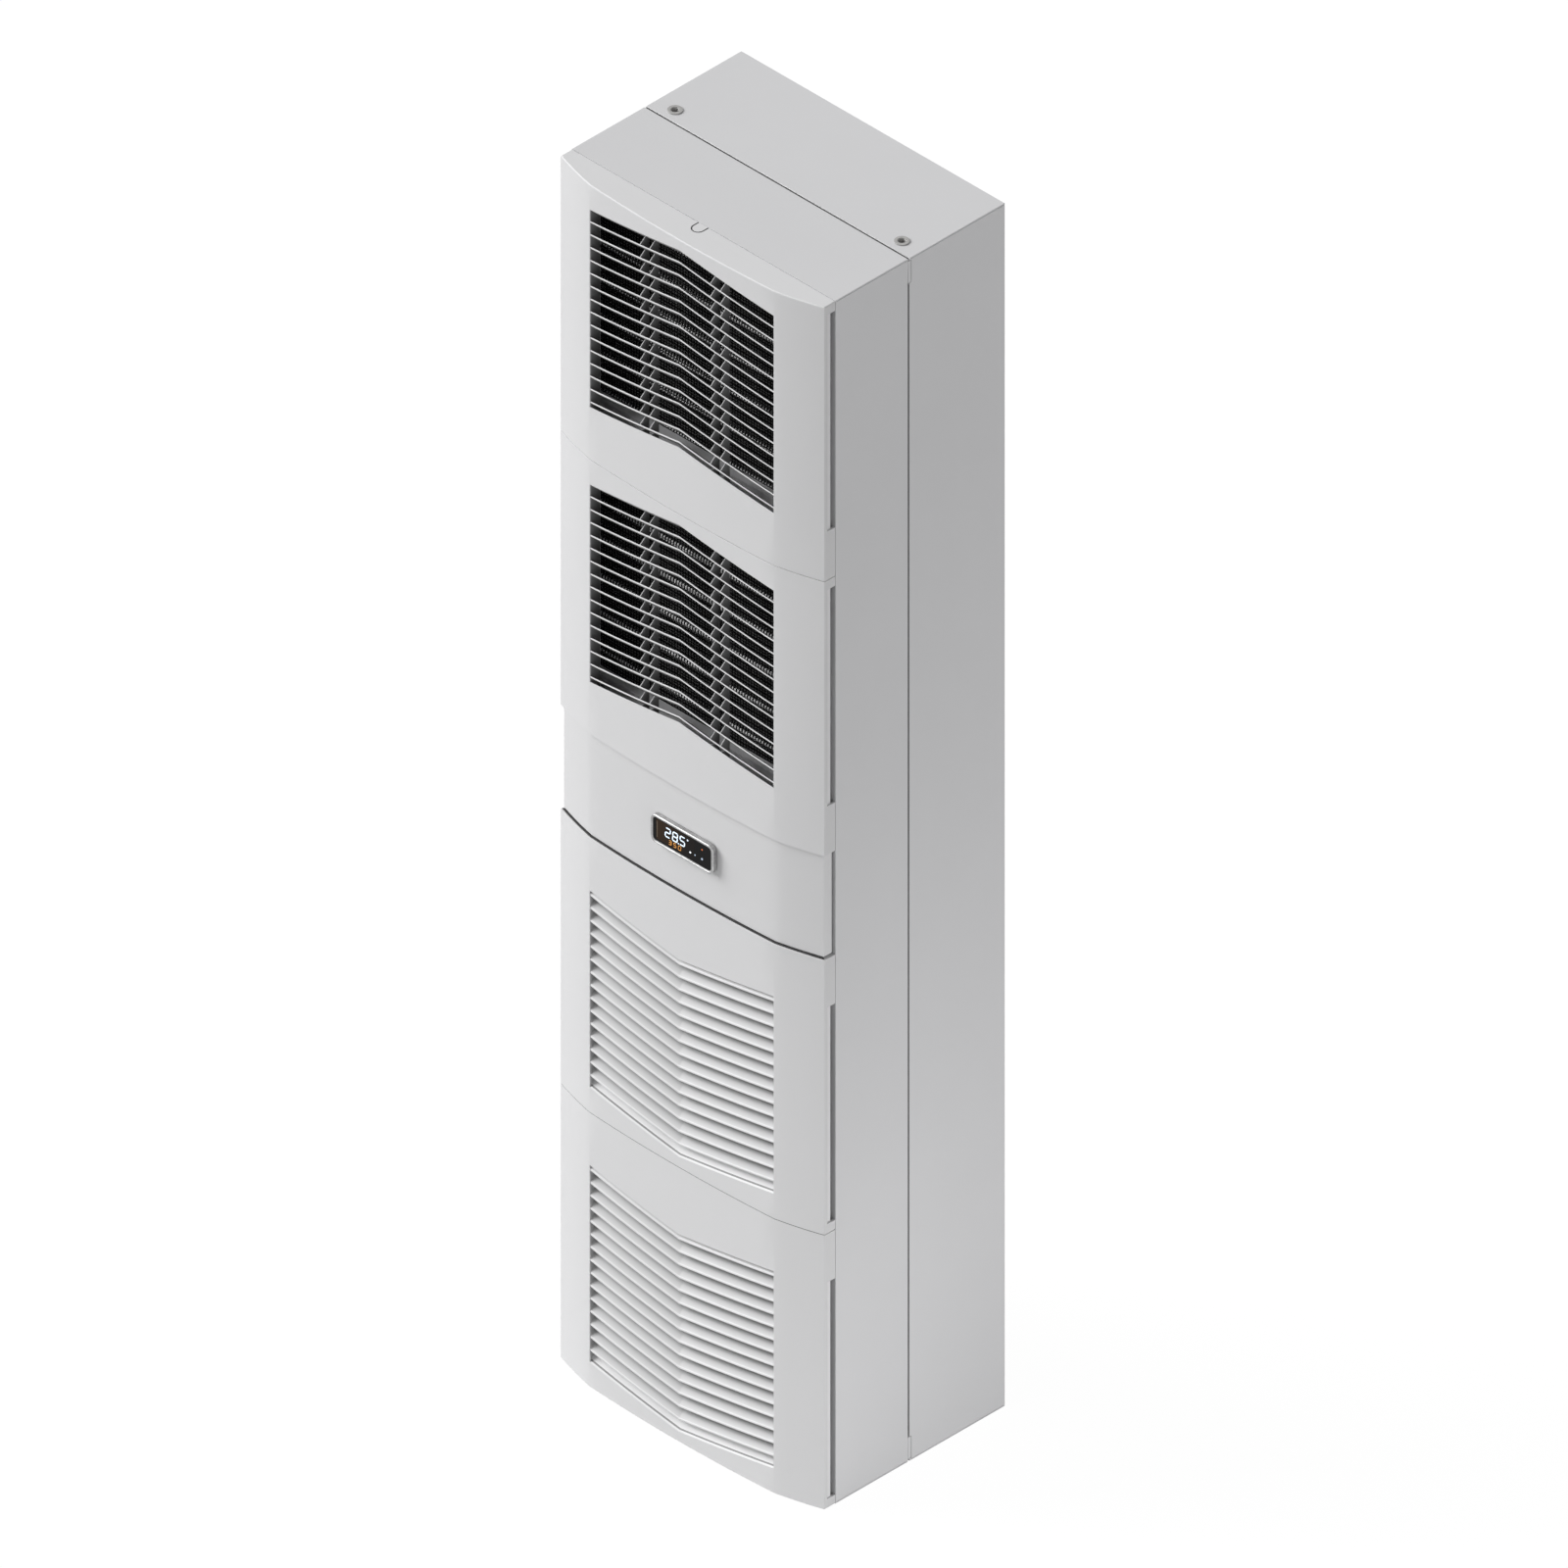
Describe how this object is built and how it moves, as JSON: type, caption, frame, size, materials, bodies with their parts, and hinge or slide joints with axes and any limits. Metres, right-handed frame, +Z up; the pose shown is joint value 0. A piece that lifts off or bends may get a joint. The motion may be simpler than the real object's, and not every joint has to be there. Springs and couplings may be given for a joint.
{
  "type": "enclosure cooling unit",
  "caption": "Tall slim wall-mounted refrigeration unit for electrical enclosures, light grey, with chevron louvre covers, a small digital display and its fans and refrigeration circuit inside.",
  "frame": {"origin": "on the floor plane, under the middle of the box", "axes": "+Z up, the louvred front faces -Y, the enclosure side faces +Y, +X to the right from the front's own left"},
  "size_m": [0.4, 0.3018, 1.5813],
  "materials": {
    "hood_paint": "light grey powder coat, satin",
    "cover_plastic": "light grey moulded plastic, fine texture",
    "bezel_metal": "brushed bright metal",
    "display_glass": "near-black window, polished",
    "zinc_sheet": "zinc-plated sheet",
    "zinc_insert": "zinc plate",
    "coil_black": "black coated fins",
    "fin_aluminium": "bare aluminium fins",
    "line_copper": "drawn copper",
    "valve_brass": "machined brass",
    "black_paint": "black enamel",
    "black_plastic": "black moulded plastic",
    "wheel_plastic": "dark grey moulded plastic",
    "tray_plastic": "grey moulded plastic",
    "board": "green circuit board",
    "seal_rubber": "closed-cell foam",
    "mount_rubber": "black rubber"
  },
  "bodies": {
    "cabinet": {"display_panel": "cover_plastic", "front_hood": "hood_paint", "rear_housing": "hood_paint", "display_bezel": "bezel_metal", "display_glass": "display_glass", "display_module": "board", "display_cable": "black_plastic", "partition": "zinc_sheet", "rear_seal": "seal_rubber", "feed_grommet": "mount_rubber", "suction_grommet": "mount_rubber", "lifting_insert_left": "zinc_insert", "lifting_insert_right": "zinc_insert", "rear_intake_guard": "black_plastic", "rear_outlet_grille": "black_plastic", "mains_connector": "black_plastic", "condenser_core": "coil_black", "condenser_end_left": "zinc_sheet", "condenser_end_right": "zinc_sheet", "condenser_fan_plate": "zinc_sheet", "condenser_fan_shroud": "black_plastic", "condenser_fan_bracket": "zinc_sheet", "condenser_fan_motor": "black_paint", "evaporator_core": "fin_aluminium", "evaporator_end_left": "zinc_sheet", "evaporator_end_right": "zinc_sheet", "evaporator_fan_motor": "black_paint", "inlet_nozzle": "zinc_sheet", "condensate_tray": "tray_plastic", "drain_hose": "mount_rubber", "compressor": "black_paint", "rubber_mount_1": "mount_rubber", "rubber_mount_2": "mount_rubber", "rubber_mount_3": "mount_rubber", "rubber_mount_4": "mount_rubber", "compressor_tray": "zinc_sheet", "accumulator": "black_paint", "suction_elbow": "line_copper", "terminal_cover": "black_plastic", "filter_drier": "line_copper", "expansion_valve": "valve_brass", "discharge_pipe": "line_copper", "liquid_pipe": "line_copper", "feed_pipe": "line_copper", "injection_pipe": "line_copper", "suction_pipe": "line_copper", "electronics_box": "zinc_sheet", "electronics_lid": "zinc_sheet", "controller_board": "board", "terminal_block": "black_plastic"},
    "cover_1": {"louvre_cover_1": "cover_plastic"},
    "cover_2": {"louvre_cover_2": "cover_plastic"},
    "cover_3": {"louvre_cover_3": "cover_plastic"},
    "cover_4": {"louvre_cover_4": "cover_plastic"},
    "top_tab": {"release_tab_top": "cover_plastic"},
    "bottom_tab": {"release_tab_bottom": "cover_plastic"},
    "condenser_fan": {"condenser_fan_impeller": "black_plastic"},
    "evaporator_fan": {"evaporator_fan_impeller": "wheel_plastic"}
  },
  "joints": [
    {"name": "cover_1_pull", "type": "slide", "parent": "cabinet", "child": "cover_1", "axis": [0, -1, 0], "range_m": [0, 0.08]},
    {"name": "cover_2_pull", "type": "slide", "parent": "cabinet", "child": "cover_2", "axis": [0, -1, 0], "range_m": [0, 0.08]},
    {"name": "cover_3_pull", "type": "slide", "parent": "cabinet", "child": "cover_3", "axis": [0, -1, 0], "range_m": [0, 0.08]},
    {"name": "cover_4_pull", "type": "slide", "parent": "cabinet", "child": "cover_4", "axis": [0, -1, 0], "range_m": [0, 0.08]},
    {"name": "top_release", "type": "hinge", "parent": "cabinet", "child": "top_tab", "pos_m": [0, -0.10985, 1.5772], "axis": [1, 0, 0], "range_deg": [0, 5], "stiffness_Nm_per_rad": 4},
    {"name": "bottom_release", "type": "hinge", "parent": "cabinet", "child": "bottom_tab", "pos_m": [0, -0.10985, 0.0028], "axis": [-1, 0, 0], "range_deg": [0, 5], "stiffness_Nm_per_rad": 4},
    {"name": "condenser_fan_spin", "type": "hinge", "parent": "cabinet", "child": "condenser_fan", "pos_m": [0, -0.07255, 0.5205], "axis": [0, -1, 0], "continuous": true},
    {"name": "evaporator_fan_spin", "type": "hinge", "parent": "cabinet", "child": "evaporator_fan", "pos_m": [0, 0.04175, 1.37], "axis": [0, 1, 0], "continuous": true}
  ]
}
